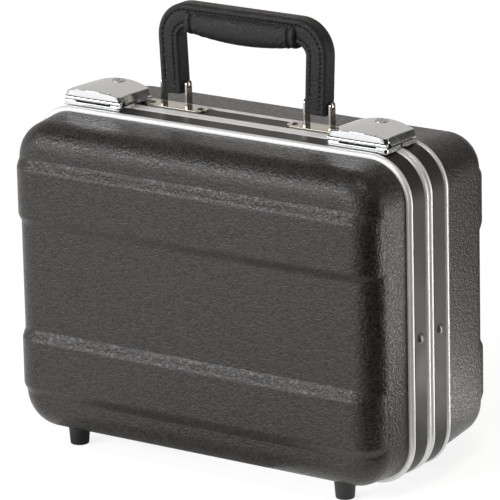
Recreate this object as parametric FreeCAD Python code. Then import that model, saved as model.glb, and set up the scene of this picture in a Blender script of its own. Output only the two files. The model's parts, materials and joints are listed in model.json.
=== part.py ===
import FreeCAD, Part
import math
import os

V = FreeCAD.Vector

# Hard case: two shells in metal frames, hinged below, two latches and a handle on top.
# Built about the parting plane y = 0; every piece is moved by SHIFT_Y when written, so that
# the origin ends up below the middle of the whole case. Units mm, +X right, +Y rear, +Z up.

# frame outline at the crest of the beads
FRAME_W = 330.0
FRAME_H = 247.2
FRAME_R = 34.1
FRAME_BOTTOM = 7.4
FRAME_TOP = FRAME_BOTTOM + FRAME_H
MID_Z = FRAME_BOTTOM + FRAME_H / 2

# length of tools that pass right through
REACH = FRAME_W

# frame section, depths below the crest
BEAD_W = 5.5
VALANCE_D = 26.5
WEB_TOP = 2.2
WEB_T = 1.3
WEB_UNDER = WEB_TOP + WEB_T
LIP_EDGE = 1.2
LIP_CREST_Y = 2.9
LIP_D = 4.0
GROOVE_D = 4.5
TONGUE_L = 2.5
TONGUE_OUT = 3.8
TONGUE_IN = 5.4
GROOVE_OUT = 3.5
GROOVE_IN = 6.2
GROOVE_WALL = 1.4
REAR_LIP_D = 6.0
SEAL_T = 1.6
STRIP_T = 1.3
STRIP_GAP = 0.15
STRIP_FACE = WEB_TOP - STRIP_T

# shells
WALL = 2.5
FRONT_D = 67.0
REAR_D = 94.0
DRAFT = math.tan(math.radians(5.0))
EDGE_R = 20.0
BAND_H = 4.4
BAND_IN = 44.0
BAND_OUT = 87.6
FLANK_W = 10.0
FLANK_STEPS = 6
BAND_OVER = 0.06
BAND_INSET = 0.15
BAND_FOOT_IN = 0.6
SHIFT_Y = -(REAR_D - FRONT_D) / 2

# side rivets
RIVET_R = 4.25
RIVET_DOME = 1.6
RIVET_SHANK = 1.6
RIVET_BELOW = 12.0
TAIL_T = 1.0
TAIL_SPREAD = 1.0
RIVET_Z = MID_Z - RIVET_BELOW
RIVET_Y = 13.2

# feet
FOOT_FROM_SIDE = 46.5
FOOT_X = FRAME_W / 2 - FOOT_FROM_SIDE
FOOT_FRONT_Y = 45.5
FOOT_REAR_Y = 70.0
FOOT_R0 = 7.0
FOOT_R1 = 8.0
FOOT_H = 12.0
FOOT_SPARE = 8.0
FOOT_ROUND = 1.0
SCREW_R = 2.0
SCREW_HEAD_R = 4.0
SCREW_HEAD_T = 2.4
SCREW_END_Z = 5.0
SCREW_ROUND = 0.8
SCREW_SEAT_GAP = 0.1
DRIVE_R = 1.3
DRIVE_FLOOR = 1.0

# piano hinge
HINGE_L = 250.0
KNUCKLES = 11
KNUCKLE_GAP = 0.5
BARREL_R = 2.2
BARREL_GAP = 0.35
HINGE_Z = FRAME_BOTTOM - BARREL_R - BARREL_GAP
LEAF_T = 1.0
LEAF_W = 25.0
LEAF_START = 2.2
TANG_W = 3.0
TANG_T = 0.65
HINGE_PIN_R = 1.0
RUN_FIT = 0.05
HINGE_RIVETS = 6
HINGE_RIVET_R = 1.3
HINGE_RIVET_HEAD = 2.4
HINGE_RIVET_DOME = 0.9

# latch, local x from the latch middle
LATCH_FROM_SIDE = 49.0
LATCH_X = FRAME_W / 2 - LATCH_FROM_SIDE
LATCH_HALF = 25.4
LATCH_FRONT_Y = -21.0
LATCH_GAP_Y = 1.0
KEEPER_REAR_Y = 22.0
BASE_T = 2.6
BASE_CORNER = 3.0
BASE_ROUND = 0.5
BASE_TOP = FRAME_TOP + BASE_T
PIN_Y = -18.2
BARREL = 1.8
COVER_GAP = 0.35
PIN_Z = BASE_TOP + COVER_GAP + BARREL
LATCH_PIN_R = 0.9
END_KNUCKLE = 9.0
KNUCKLE_IN = 0.6
KNUCKLE_SIDE = 0.4
PAD_GAP = 0.3
PAD_Y0 = BEAD_W + PAD_GAP
PAD_Y1 = VALANCE_D - BEAD_W - PAD_GAP
SUNK = 0.5
WEB_BELOW_PIN = 0.6
WEB_HALF = 0.7
COVER_FRONT_Y = PIN_Y - BARREL
COVER_REAR_Y = 20.0
COVER_ARC_Y = 22.0
COVER_REAR_FALL = 1.0
STEP_BACK = 3.2
STEP_BELOW_PIN = 0.4
ROOT_UP = 3.0
COVER_FRONT_Z = PIN_Z + 5.2
COVER_UP = 13.0
COVER_TOP_Z = FRAME_TOP + COVER_UP
COVER_LOW = BASE_TOP + COVER_GAP
COVER_WALL = 1.4
COVER_ROUND = 0.6
COVER_BEVEL = 4.5
COVER_CORNER = 3.5
COVER_BEVEL_UP = 8.0
COVER_BEVEL_Z = FRAME_TOP + COVER_BEVEL_UP
COVER_SIDE_UP = 11.2
COVER_SIDE_Z = FRAME_TOP + COVER_SIDE_UP
LIP_Y0 = 3.5
LIP_Y1 = 5.0
LIP_HALF = 8.0
LIP_UP = 2.4
LIP_CLEAR = 1.0
NOTCH_IN = 4.0
LIP_TOP = BASE_TOP + LIP_UP
HOOK_PIN_Y = -9.0
HOOK_PIN_UP = 7.9
HOOK_PIN_Z = FRAME_TOP + HOOK_PIN_UP
HOOK_PIN_R = 0.8
HOOK_EYE_R = 1.6
HOOK_HALF = 6.0
HOOK_SIDE = 0.4
CHEEK_T = 1.6
CHEEK_HALF = 1.8
HOOK_PIN_HALF = HOOK_HALF + HOOK_SIDE + CHEEK_T
HOOK_T = 1.5
NOSE_Y0 = 5.9
NOSE_Y1 = 7.6
NOSE_CLEAR = 0.5
NOSE_LOW = LIP_TOP + NOSE_CLEAR
KEY_Y = 14.0
KEY_R = 4.5
KEY_RING_R = 5.6
RING_UP = 0.5
RING_DEEP = 2.4
PLUG_UP = 0.2
CAM_UP = 9.5
CAM_LOW = FRAME_TOP + CAM_UP
CAM_T = 1.0
CAM_L = 8.5
CAM_HALF = 2.2
KEYWAY_W = 1.0
KEYWAY_L = 4.4
KEYWAY_DEEP = 1.8
BASE_RIVET_X = 20.0
BASE_RIVET_R = 1.3
BASE_RIVET_HEAD = 2.3
BASE_RIVET_DOME = 0.7

# handle, between the two latches
HANDLE_Y = 13.2
PLATE_L = 54.0
MOUNT_GAP = 0.6
MOUNT_X = LATCH_X - LATCH_HALF - MOUNT_GAP - PLATE_L / 2
PLATE_W = 14.2
PLATE_T = 1.8
PLATE_ROUND = 0.5
EAR_X = 11.0
EAR_T = 1.5
EAR_W = 7.0
EAR_ROOT = 1.2
PIVOT_UP = 17.9
PIVOT_Z = FRAME_TOP + PIVOT_UP
PIVOT_R = 2.0
PIVOT_HEAD = 0.9
PIVOT_DOME = 0.8
MOUNT_RIVET_X = 21.5
MOUNT_RIVET_R = 2.9
MOUNT_RIVET_DOME = 1.3
MOUNT_RIVET_SHANK = 1.5
LEG_W = 18.0
LEG_T = 14.5
LEG_BELOW = 6.0
LEG_SPLAY = 3.0
HANDLE_RISE = 63.3
HANDLE_R = 29.0
TOP_BAND = 19.0
INNER_R = 10.0
GRIP_FROM_LEG = 14.0
GRIP_END_X = MOUNT_X - GRIP_FROM_LEG
GRIP_MID_H = 27.0
GRIP_MID_D = 23.0
GRIP_END_H = 22.0
GRIP_END_D = 17.0
CORE_W = 9.0
CORE_T = 3.0
EYE_WALL = 1.6
LEG_ROUND = 2.8
GRIP_STEPS = 6
GRIP_CLEAR = 2.0


def solid(shape):
    shape = shape.removeSplitter()
    return shape.Solids[0] if len(shape.Solids) == 1 else shape


def box(x0, x1, y0, y1, z0, z1):
    return Part.makeBox(x1 - x0, y1 - y0, z1 - z0, V(x0, y0, z0))


def rod(radius, start, end):
    return Part.makeCylinder(radius, (end - start).Length, start, end - start)


# closed outline through the points, each corner rounded by its radius or left sharp at 0
def rounded(points, radii):
    turns = []
    for i, here in enumerate(points):
        back = (points[i - 1] - here).normalize()
        ahead = (points[(i + 1) % len(points)] - here).normalize()
        half = back.getAngle(ahead) / 2
        middle = (back + ahead).normalize()
        reach = radii[i] / math.tan(half)
        bow = here + middle * (radii[i] / math.sin(half) - radii[i])
        turns.append((here + back * reach, bow, here + ahead * reach))
    edges = []
    for i, (start, bow, end) in enumerate(turns):
        if radii[i] > 0:
            edges.append(Part.Arc(start, bow, end))
        edges.append(Part.LineSegment(end, turns[(i + 1) % len(turns)][0]))
    return Part.Wire([edge.toShape() for edge in edges])


# rounded rectangle of the frame, grown outward by n, in the plane at y
def outline(n, y):
    x = FRAME_W / 2 + n
    z = FRAME_H / 2 + n
    r = FRAME_R + n
    k = r * (1 - math.sqrt(0.5))

    def at(a, b):
        return V(a, y, MID_Z + b)

    edges = []
    for sx, sz in ((1, -1), (1, 1), (-1, 1), (-1, -1)):
        if sx * sz < 0:
            first, last = at(sx * (x - r), sz * z), at(sx * x, sz * (z - r))
        else:
            first, last = at(sx * x, sz * (z - r)), at(sx * (x - r), sz * z)
        if edges:
            edges.append(Part.LineSegment(edges[-1].EndPoint, first))
        edges.append(Part.Arc(first, at(sx * (x - k), sz * (z - k)), last))
    edges.append(Part.LineSegment(edges[-1].EndPoint, edges[0].StartPoint))
    return Part.Wire([edge.toShape() for edge in edges])


def ring(n_out, n_in, y0, y1):
    along = V(0, y1 - y0, 0)
    outer = Part.Face(outline(n_out, y0)).extrude(along)
    return outer.cut(Part.Face(outline(n_in, y0)).extrude(along))


# a section drawn as (n, y) lines, carried once round the frame
def carried(section):
    start = V(-FRAME_W / 2 + FRAME_R, 0, FRAME_BOTTOM)

    def at(n, y):
        return start + V(0, y, -n)

    edges = []
    for item in section:
        pts = [at(n, y) for n, y in item]
        curve = Part.LineSegment(*pts) if len(pts) == 2 else Part.Arc(*pts)
        edges.append(curve.toShape())
    return outline(0, 0).makePipeShell([Part.Wire(edges)], True, False)


def lines(points):
    return [(points[i], points[i + 1]) for i in range(len(points) - 1)]


# frame section from the outer bead to the centre lip; s is -1 front, +1 rear
def valance_section(s, inside):
    bead0 = (-WEB_TOP, s * VALANCE_D)
    bead1 = (0, s * (VALANCE_D - BEAD_W / 2))
    bead2 = (-WEB_TOP, s * (VALANCE_D - BEAD_W))
    lip0 = (-WEB_TOP, s * BEAD_W)
    lip1 = (0, s * LIP_CREST_Y)
    lip2 = (-LIP_EDGE, 0)
    under = [lip2] + inside + [(-WEB_UNDER, s * VALANCE_D), bead0]
    return [(bead0, bead1, bead2), (bead2, lip0), (lip0, lip1, lip2)] + lines(under)


def front_valance():
    inside = [(-TONGUE_OUT, 0), (-TONGUE_OUT, TONGUE_L), (-TONGUE_IN, TONGUE_L), (-TONGUE_IN, 0)]
    inside += [(-WEB_UNDER - WALL, 0), (-WEB_UNDER - WALL, -LIP_D), (-WEB_UNDER, -LIP_D)]
    return carried(valance_section(-1, inside))


def rear_valance():
    deep = GROOVE_IN + GROOVE_WALL
    inside = [(-GROOVE_OUT, 0), (-GROOVE_OUT, GROOVE_D), (-GROOVE_IN, GROOVE_D), (-GROOVE_IN, 0)]
    inside += [(-deep, 0), (-deep, REAR_LIP_D), (-WEB_UNDER, REAR_LIP_D)]
    return carried(valance_section(1, inside))


def strip(s):
    y0 = BEAD_W + STRIP_GAP
    y1 = VALANCE_D - BEAD_W - STRIP_GAP
    low = min(s * y0, s * y1)
    return ring(-STRIP_FACE, -WEB_TOP, low, low + y1 - y0)


# drafted tray block with a large rounding round its face
def tray(s, n, depth, radius):
    n_face = n - (depth - VALANCE_D) * DRAFT
    block = Part.makeLoft([outline(n, s * VALANCE_D), outline(n_face, s * depth)], True, True)
    rim = [e for e in block.Edges if all(abs(v.Y - s * depth) < 1e-6 for v in e.Vertexes)]
    return block.makeFillet(radius, rim)


# level section of a tray at height z, from rim to rim round its face
def slice_wire(s, n, depth, radius, z):
    rim = FRAME_W / 2 + n
    face = rim - (depth - VALANCE_D) * DRAFT
    y0, y1 = s * VALANCE_D, s * depth
    points = [V(-rim, y0, z), V(-face, y1, z), V(face, y1, z), V(rim, y0, z)]
    return rounded(points, [0, radius, radius, 0])


# raised band: its flanks swell from the tray's face to the band's face, round the corners as well
def band(s, n, depth, radius, low, high):
    def flank(z, way):
        wires = []
        for i in range(FLANK_STEPS + 1):
            share = i / FLANK_STEPS
            swell = (1 - math.cos(math.pi * share)) / 2
            lift = (BAND_H + BAND_OVER) * swell - BAND_OVER
            width = n - BAND_FOOT_IN * (1 - swell)
            wires.append(slice_wire(s, width, depth + lift, radius, MID_Z + z + way * FLANK_W * (share - 0.5)))
        return Part.makeLoft(wires, True, False)

    half = FLANK_W / 2
    crest = slice_wire(s, n, depth + BAND_H, radius, MID_Z + low + half)
    middle = Part.Face(crest).extrude(V(0, 0, high - low - FLANK_W))
    return flank(low, 1).fuse(middle).fuse(flank(high, -1))


def formed(s, n, depth, radius, trim):
    body = tray(s, n, depth, radius)
    for low, high in ((BAND_IN, BAND_OUT), (-BAND_OUT, -BAND_IN)):
        body = body.fuse(band(s, n - BAND_INSET, depth, radius, low + trim, high - trim))
    return solid(body)


def shell(s, depth, rim_y):
    outer = formed(s, -WEB_UNDER, depth, EDGE_R, 0.0)
    inner = formed(s, -WEB_UNDER - WALL, depth - WALL, EDGE_R - WALL, WALL / 3)
    low = min(s * rim_y, s * VALANCE_D)
    collar = ring(-WEB_UNDER, -WEB_UNDER - WALL, low, low + VALANCE_D - rim_y)
    return outer, solid(outer.cut(inner).fuse(collar))


# low domed head, turned about its own axis
def dome_head(radius, rise, centre, out):
    side = V(0, 1, 0) if abs(out.y) < 0.5 else V(1, 0, 0)
    ball = (radius * radius + rise * rise) / (2 * rise)
    turn = math.asin(radius / ball) / 2
    brow = centre + side * (ball * math.sin(turn)) + out * (ball * math.cos(turn) - ball + rise)
    rim, crown = centre + side * radius, centre + out * rise
    edges = [Part.LineSegment(centre, rim), Part.Arc(rim, brow, crown), Part.LineSegment(crown, centre)]
    return Part.Face(Part.Wire([e.toShape() for e in edges])).revolve(centre, out, 360)


def side_rivets(s):
    made = []
    for sx in (-1, 1):
        face = V(sx * (FRAME_W / 2 - STRIP_FACE), s * RIVET_Y, RIVET_Z)
        inner = V(sx * (FRAME_W / 2 - WEB_UNDER - WALL), s * RIVET_Y, RIVET_Z)
        tail = rod(RIVET_SHANK + TAIL_SPREAD, inner, inner - V(sx * TAIL_T, 0, 0))
        head = dome_head(RIVET_R, RIVET_DOME, face, V(sx, 0, 0))
        made.append(solid(head.fuse(rod(RIVET_SHANK, face, inner)).fuse(tail)))
    return made


# rivets that hold a top plate: shank through strip, frame and shell flange
def top_rivets(spots, radius, head_r, rise, seat_z):
    made = []
    for x, y in spots:
        low = FRAME_TOP - WEB_UNDER - WALL
        shank = rod(radius, V(x, y, low), V(x, y, seat_z))
        tail = rod(radius + TAIL_SPREAD, V(x, y, low - TAIL_T), V(x, y, low))
        head = dome_head(head_r, rise, V(x, y, seat_z), V(0, 0, 1))
        made.append(solid(head.fuse(shank).fuse(tail)))
    return made


def foot_places(s):
    y = FOOT_FRONT_Y if s < 0 else FOOT_REAR_Y
    return [(sx * FOOT_X, s * y) for sx in (-1, 1)]


def foot_floor(y):
    return FRAME_BOTTOM + WEB_UNDER + (abs(y) - VALANCE_D) * DRAFT


def feet(s, outer):
    made = []
    for x, y in foot_places(s):
        tall = FOOT_H + FOOT_SPARE
        grow = (FOOT_R1 - FOOT_R0) / FOOT_H * tall
        cone = Part.makeCone(FOOT_R0, FOOT_R0 + grow, tall, V(x, y, 0), V(0, 0, 1))
        cone = cone.makeFillet(FOOT_ROUND, [e for e in cone.Edges if abs(e.BoundBox.ZMax) < 1e-6])
        bored = cone.cut(outer).Solids[0].cut(rod(SCREW_R, V(x, y, SCREW_END_Z), V(x, y, REACH)))
        made.append(bored.Solids[0])
    return made


def feet_screws(s):
    made = []
    for x, y in foot_places(s):
        seat = foot_floor(y) + WALL + SCREW_HEAD_R * DRAFT + SCREW_SEAT_GAP
        shank = rod(SCREW_R, V(x, y, SCREW_END_Z), V(x, y, seat))
        head = rod(SCREW_HEAD_R, V(x, y, seat), V(x, y, seat + SCREW_HEAD_T))
        rim = [e for e in head.Edges if abs(e.BoundBox.ZMin - seat - SCREW_HEAD_T) < 1e-6]
        head = head.makeFillet(SCREW_ROUND, rim)
        drive = rod(DRIVE_R, V(x, y, seat + DRIVE_FLOOR), V(x, y, seat + SCREW_HEAD_T))
        made.append(solid(shank.fuse(head).cut(drive)))
    return made


# hinge leaf with its own share of the knuckles
def hinge_leaf(s):
    pitch = HINGE_L / KNUCKLES
    low = FRAME_BOTTOM - LEAF_T
    y0, y1 = min(s * LEAF_START, s * LEAF_W), max(s * LEAF_START, s * LEAF_W)
    leaf = box(-HINGE_L / 2, HINGE_L / 2, y0, y1, low, FRAME_BOTTOM)
    first = 0 if s > 0 else 1
    bore = HINGE_PIN_R if s > 0 else HINGE_PIN_R + RUN_FIT
    for i in range(first, KNUCKLES, 2):
        x0 = -HINGE_L / 2 + i * pitch + KNUCKLE_GAP / 2
        x1 = x0 + pitch - KNUCKLE_GAP
        leaf = leaf.fuse(rod(BARREL_R, V(x0, 0, HINGE_Z), V(x1, 0, HINGE_Z)))
        tang = box(x0, x1, min(0, s * TANG_W), max(0, s * TANG_W), low, low + TANG_T)
        leaf = leaf.fuse(tang)
    leaf = leaf.cut(rod(bore, V(-HINGE_L, 0, HINGE_Z), V(HINGE_L, 0, HINGE_Z)))
    return solid(leaf)


def hinge_rivets(s):
    made = []
    step = HINGE_L / HINGE_RIVETS
    for i in range(HINGE_RIVETS):
        x = -HINGE_L / 2 + step * (i + 0.5)
        y = s * RIVET_Y
        low = FRAME_BOTTOM - LEAF_T
        high = FRAME_BOTTOM + WEB_UNDER + WALL
        shank = rod(HINGE_RIVET_R, V(x, y, low), V(x, y, high))
        tail = rod(HINGE_RIVET_R + TAIL_SPREAD, V(x, y, high), V(x, y, high + TAIL_T))
        head = dome_head(HINGE_RIVET_HEAD, HINGE_RIVET_DOME, V(x, y, low), V(0, 0, -1))
        made.append(solid(head.fuse(shank).fuse(tail)))
    return made


def handle_mount(sx):
    x = sx * MOUNT_X
    low = FRAME_TOP - STRIP_FACE
    half = PLATE_L / 2 - PLATE_W / 2
    plate = box(x - half, x + half, HANDLE_Y - PLATE_W / 2, HANDLE_Y + PLATE_W / 2, low, low + PLATE_T)
    for end in (-half, half):
        plate = plate.fuse(rod(PLATE_W / 2, V(x + end, HANDLE_Y, low), V(x + end, HANDLE_Y, low + PLATE_T)))
    plate = plate.removeSplitter()
    top = [e for e in plate.Edges if abs(e.BoundBox.ZMin - low - PLATE_T) < 1e-6]
    mount = plate.makeFillet(PLATE_ROUND, top)
    for side in (-1, 1):
        e0 = x + side * EAR_X - EAR_T / 2
        ear = box(e0, e0 + EAR_T, HANDLE_Y - EAR_W / 2, HANDLE_Y + EAR_W / 2, low + PLATE_T - EAR_ROOT, PIVOT_Z)
        ear = ear.fuse(rod(EAR_W / 2, V(e0, HANDLE_Y, PIVOT_Z), V(e0 + EAR_T, HANDLE_Y, PIVOT_Z)))
        mount = mount.fuse(ear)
    pin = rod(PIVOT_R, V(-REACH, HANDLE_Y, PIVOT_Z), V(REACH, HANDLE_Y, PIVOT_Z))
    return solid(mount.cut(pin))


def handle_pins():
    made = []
    for sx in (-1, 1):
        x = sx * MOUNT_X
        half = EAR_X + EAR_T / 2
        pin = rod(PIVOT_R, V(x - half, HANDLE_Y, PIVOT_Z), V(x + half, HANDLE_Y, PIVOT_Z))
        for side in (-1, 1):
            seat = V(x + side * half, HANDLE_Y, PIVOT_Z)
            pin = pin.fuse(dome_head(PIVOT_R + PIVOT_HEAD, PIVOT_DOME, seat, V(side, 0, 0)))
        made.append(solid(pin))
    return made


# handle pieces, drawn about the pivot line and lifted to their place
def lifted(shape):
    shape.translate(V(0, HANDLE_Y, PIVOT_Z))
    return shape


# upright arch whose legs spread a little towards the top
def arch(width, top, band_high, r_out, r_in, bottom, thick):
    def side(foot, high, radius):
        head = foot + LEG_SPLAY * (high - bottom) / (top - bottom)
        y = -thick / 2
        points = [V(-foot, y, bottom), V(-head, y, high), V(head, y, high), V(foot, y, bottom)]
        return Part.Face(rounded(points, [0, radius, radius, 0])).extrude(V(0, thick, 0))

    outer = side(MOUNT_X + width / 2, top, r_out)
    return outer.cut(side(MOUNT_X - width / 2, top - band_high, r_in))


def handle_core():
    top = HANDLE_RISE - (TOP_BAND - CORE_W) / 2
    strap = arch(CORE_W, top, CORE_W, HANDLE_R - CORE_W / 2, INNER_R + CORE_W / 2, 0, CORE_T)
    for sx in (-1, 1):
        eye = V(sx * MOUNT_X - CORE_W / 2, 0, 0)
        strap = strap.fuse(rod(PIVOT_R + EYE_WALL, eye, eye + V(CORE_W, 0, 0)))
    return solid(strap.cut(rod(PIVOT_R + RUN_FIT, V(-REACH, 0, 0), V(REACH, 0, 0))))


# padded grip: rounded arch with a fuller middle, crowned along its length
def handle_grip(core):
    around = arch(LEG_W, HANDLE_RISE, TOP_BAND, HANDLE_R, INNER_R, -LEG_BELOW, LEG_T)
    around = around.makeFillet(LEG_ROUND, [e for e in around.Edges if abs(e.BoundBox.YLength) < 1e-6])
    stations = []
    for i in range(-GRIP_STEPS, GRIP_STEPS + 1):
        share = i / GRIP_STEPS
        full = math.cos(share * math.pi / 2)
        h = GRIP_END_H + (GRIP_MID_H - GRIP_END_H) * full
        d = GRIP_END_D + (GRIP_MID_D - GRIP_END_D) * math.sqrt(max(full, 0.0))
        centre = V(share * GRIP_END_X, 0, HANDLE_RISE - h / 2)
        oval = Part.Ellipse(centre + V(0, 0, h / 2), centre + V(0, d / 2, 0), centre)
        stations.append(Part.Wire([oval.toShape()]))
    grip = around.fuse(Part.makeLoft(stations, True, False))
    hole = rod(PIVOT_R + GRIP_CLEAR, V(-REACH, 0, 0), V(REACH, 0, 0))
    return solid(grip.cut(hole).cut(core))


# base plate with its upper rim rounded
def eased(plate):
    return plate.makeFillet(BASE_ROUND, [e for e in plate.Edges if e.BoundBox.ZMin > BASE_TOP - BASE_ROUND])


# latch pieces, drawn at x = 0 and moved to their place
def latch_plate():
    pad_z = FRAME_TOP - STRIP_FACE
    plate = box(-LATCH_HALF, LATCH_HALF, LATCH_FRONT_Y, -LATCH_GAP_Y, FRAME_TOP, BASE_TOP)
    corners = [e for e in plate.Edges if e.BoundBox.ZLength > 1 and e.BoundBox.YMin < LATCH_FRONT_Y + 0.1]
    plate = eased(plate.makeFillet(BASE_CORNER, corners))
    plate = plate.fuse(box(-LATCH_HALF, LATCH_HALF, -PAD_Y1, -PAD_Y0, pad_z, FRAME_TOP))
    for x0 in (-LATCH_HALF + KNUCKLE_IN, LATCH_HALF - KNUCKLE_IN - END_KNUCKLE):
        x1 = x0 + END_KNUCKLE
        plate = plate.fuse(rod(BARREL, V(x0, PIN_Y, PIN_Z), V(x1, PIN_Y, PIN_Z)))
        web_top = PIN_Z - WEB_BELOW_PIN
        plate = plate.fuse(box(x0, x1, PIN_Y - WEB_HALF, PIN_Y + WEB_HALF, BASE_TOP - SUNK, web_top))
    return solid(plate.cut(rod(LATCH_PIN_R, V(-REACH, PIN_Y, PIN_Z), V(REACH, PIN_Y, PIN_Z))))


def latch_pin():
    end = LATCH_HALF - KNUCKLE_IN
    return rod(LATCH_PIN_R, V(-end, PIN_Y, PIN_Z), V(end, PIN_Y, PIN_Z))


# outside of the cover as the common part of its plan, side and front views, drawn smaller by t
def cover_block(t):
    half = LATCH_HALF - t
    rear = COVER_REAR_Y - t
    front = COVER_FRONT_Y + t
    low = COVER_LOW - t * 4

    def face(edges, along):
        return Part.Face(Part.Wire([c.toShape() for c in edges])).extrude(along)

    cut = COVER_CORNER
    p = [V(-half, front + cut, low), V(-half + cut, front, low), V(half - cut, front, low),
         V(half, front + cut, low), V(half, rear, low), V(-half, rear, low)]
    bow = V(0, COVER_ARC_Y - t, low)
    plan = face([Part.LineSegment(p[0], p[1]), Part.LineSegment(p[1], p[2]), Part.LineSegment(p[2], p[3]),
                 Part.LineSegment(p[3], p[4]), Part.Arc(p[4], bow, p[5]), Part.LineSegment(p[5], p[0])],
                V(0, 0, REACH))
    y0 = V(-REACH, front, low)
    y1 = V(-REACH, front, COVER_FRONT_Z - t)
    y2 = V(-REACH, (front + rear) / 2, COVER_TOP_Z - t)
    y3 = V(-REACH, COVER_ARC_Y + COVER_WALL, COVER_TOP_Z - COVER_REAR_FALL - t)
    y4 = V(-REACH, COVER_ARC_Y + COVER_WALL, low)
    side = face([Part.LineSegment(y0, y1), Part.Arc(y1, y2, y3), Part.LineSegment(y3, y4),
                 Part.LineSegment(y4, y0)], V(2 * REACH, 0, 0))
    top = half - COVER_BEVEL
    z = [V(-half, -REACH, low), V(-half, -REACH, COVER_BEVEL_Z - t), V(-top, -REACH, COVER_SIDE_Z - t),
         V(0, -REACH, COVER_TOP_Z - t), V(top, -REACH, COVER_SIDE_Z - t),
         V(half, -REACH, COVER_BEVEL_Z - t),
         V(half, -REACH, low)]
    ends = face([Part.LineSegment(z[0], z[1]), Part.LineSegment(z[1], z[2]), Part.Arc(z[2], z[3], z[4]),
                 Part.LineSegment(z[4], z[5]), Part.LineSegment(z[5], z[6]), Part.LineSegment(z[6], z[0])],
                V(0, 2 * REACH, 0))
    return plan.common(side).common(ends)


def latch_cover():
    block = cover_block(0).removeSplitter()
    above = block.BoundBox.ZMin + COVER_ROUND
    block = block.makeFillet(COVER_ROUND, [e for e in block.Edges if e.BoundBox.ZMax > above])
    cover = block.cut(cover_block(COVER_WALL))
    step = box(-REACH, REACH, -REACH, PIN_Y + STEP_BACK, COVER_LOW - REACH, PIN_Z - STEP_BELOW_PIN)
    cover = cover.cut(step)
    free = LATCH_HALF - KNUCKLE_IN - END_KNUCKLE
    held = free - KNUCKLE_SIDE
    cover = cover.fuse(rod(BARREL, V(-held, PIN_Y, PIN_Z), V(held, PIN_Y, PIN_Z)))
    cover = cover.fuse(box(-held, held, COVER_FRONT_Y, COVER_FRONT_Y + COVER_WALL, PIN_Z, PIN_Z + ROOT_UP))
    for side in (-1, 1):
        inner, outer = V(side * free, PIN_Y, PIN_Z), V(side * REACH, PIN_Y, PIN_Z)
        cover = cover.cut(rod(BARREL + COVER_GAP, inner, outer))
    wide = LIP_HALF + LIP_CLEAR
    cover = cover.cut(box(-wide, wide, COVER_REAR_Y - NOTCH_IN, REACH, COVER_LOW - REACH, LIP_TOP + LIP_CLEAR))
    for side in (-1, 1):
        x0 = side * (HOOK_PIN_HALF - CHEEK_T / 2)
        cheek = box(x0 - CHEEK_T / 2, x0 + CHEEK_T / 2, HOOK_PIN_Y - CHEEK_HALF, HOOK_PIN_Y + CHEEK_HALF,
                    HOOK_PIN_Z - CHEEK_HALF, COVER_TOP_Z)
        cover = cover.fuse(cheek.common(cover_block(COVER_WALL / 2)))
    cover = cover.cut(hook_pin())
    crown = V(0, KEY_Y, COVER_TOP_Z)
    cover = cover.fuse(rod(KEY_RING_R, crown - V(0, 0, RING_DEEP), crown + V(0, 0, RING_UP)))
    cover = cover.cut(rod(KEY_R + RUN_FIT, V(0, KEY_Y, CAM_LOW), V(0, KEY_Y, COVER_TOP_Z + REACH)))
    return solid(cover.cut(rod(LATCH_PIN_R + RUN_FIT, V(-REACH, PIN_Y, PIN_Z), V(REACH, PIN_Y, PIN_Z))))


def latch_hook():
    eye = rod(HOOK_EYE_R, V(-HOOK_HALF, HOOK_PIN_Y, HOOK_PIN_Z), V(HOOK_HALF, HOOK_PIN_Y, HOOK_PIN_Z))
    strap = box(-HOOK_HALF, HOOK_HALF, HOOK_PIN_Y, NOSE_Y1, HOOK_PIN_Z - HOOK_T / 2, HOOK_PIN_Z + HOOK_T / 2)
    nose = box(-HOOK_HALF, HOOK_HALF, NOSE_Y0, NOSE_Y1, NOSE_LOW, HOOK_PIN_Z + HOOK_T / 2)
    hook = eye.fuse(strap).fuse(nose)
    ends = [V(side * HOOK_PIN_HALF, HOOK_PIN_Y, HOOK_PIN_Z) for side in (-1, 1)]
    return solid(hook.cut(rod(HOOK_PIN_R + RUN_FIT, *ends)))


def hook_pin():
    ends = [V(side * HOOK_PIN_HALF, HOOK_PIN_Y, HOOK_PIN_Z) for side in (-1, 1)]
    return rod(HOOK_PIN_R, *ends)


def latch_keeper():
    pad_z = FRAME_TOP - STRIP_FACE
    plate = box(-LATCH_HALF, LATCH_HALF, LATCH_GAP_Y, KEEPER_REAR_Y, FRAME_TOP, BASE_TOP)
    corners = [e for e in plate.Edges if e.BoundBox.ZLength > 1 and e.BoundBox.YMax > KEEPER_REAR_Y - 0.1]
    plate = eased(plate.makeFillet(BASE_CORNER, corners))
    plate = plate.fuse(box(-LATCH_HALF, LATCH_HALF, PAD_Y0, PAD_Y1, pad_z, FRAME_TOP))
    return solid(plate.fuse(box(-LIP_HALF, LIP_HALF, LIP_Y0, LIP_Y1, BASE_TOP - SUNK, LIP_TOP)))


def key_plug():
    top = COVER_TOP_Z + PLUG_UP
    plug = rod(KEY_R, V(0, KEY_Y, CAM_LOW), V(0, KEY_Y, top))
    half = KEYWAY_L / 2
    keyway = box(-KEYWAY_W / 2, KEYWAY_W / 2, KEY_Y - half, KEY_Y + half, top - KEYWAY_DEEP, top)
    arm = box(-CAM_L, 0, KEY_Y - CAM_HALF, KEY_Y + CAM_HALF, CAM_LOW, CAM_LOW + CAM_T)
    return solid(plug.fuse(arm).cut(keyway))


# rivets of one base plate; s is -1 on the lid side, +1 on the keeper side
def base_rivets(s):
    spots = [(side * BASE_RIVET_X, s * RIVET_Y) for side in (-1, 1)]
    return top_rivets(spots, BASE_RIVET_R, BASE_RIVET_HEAD, BASE_RIVET_DOME, BASE_TOP)


def moved(shape, x):
    copy = shape.copy()
    copy.translate(V(x, 0, 0))
    return copy


def bored(shape, tools):
    return solid(shape.cut(Part.makeCompound(tools)))


os.makedirs("parts", exist_ok=True)


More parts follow.
